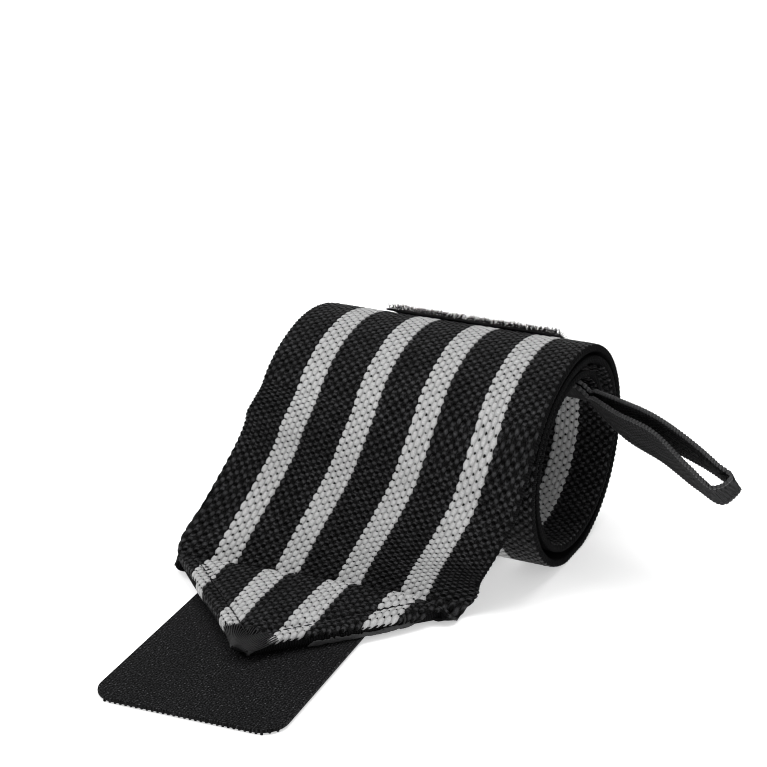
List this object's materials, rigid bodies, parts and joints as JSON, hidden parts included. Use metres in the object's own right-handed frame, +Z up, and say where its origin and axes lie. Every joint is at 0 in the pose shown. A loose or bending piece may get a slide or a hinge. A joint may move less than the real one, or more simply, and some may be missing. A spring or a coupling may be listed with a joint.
{
  "type": "wrist wrap",
  "caption": "Striped elastic wrist wrap, loosely rolled, its pointed end unrolled on a hook tape tab, with a pile patch and a thumb loop.",
  "frame": {"origin": "on the floor under the middle of the roll, on the flattened strip of its underside", "axes": "+X along the roll's axis towards the thumb loop, -Y the way the pointed free end lies, +Z up"},
  "size_m": [0.1394, 0.1577, 0.0586],
  "materials": {
    "knit": "black elastic knit with four light grey stripes",
    "hook_tape": "matte black woven hook tape",
    "pile": "brushed black pile",
    "webbing": "ribbed black elastic webbing"
  },
  "bodies": {
    "root": {"band": "knit", "hook_tab": "hook_tape", "loop_patch": "pile", "thumb_loop": "webbing"}
  },
  "joints": []
}
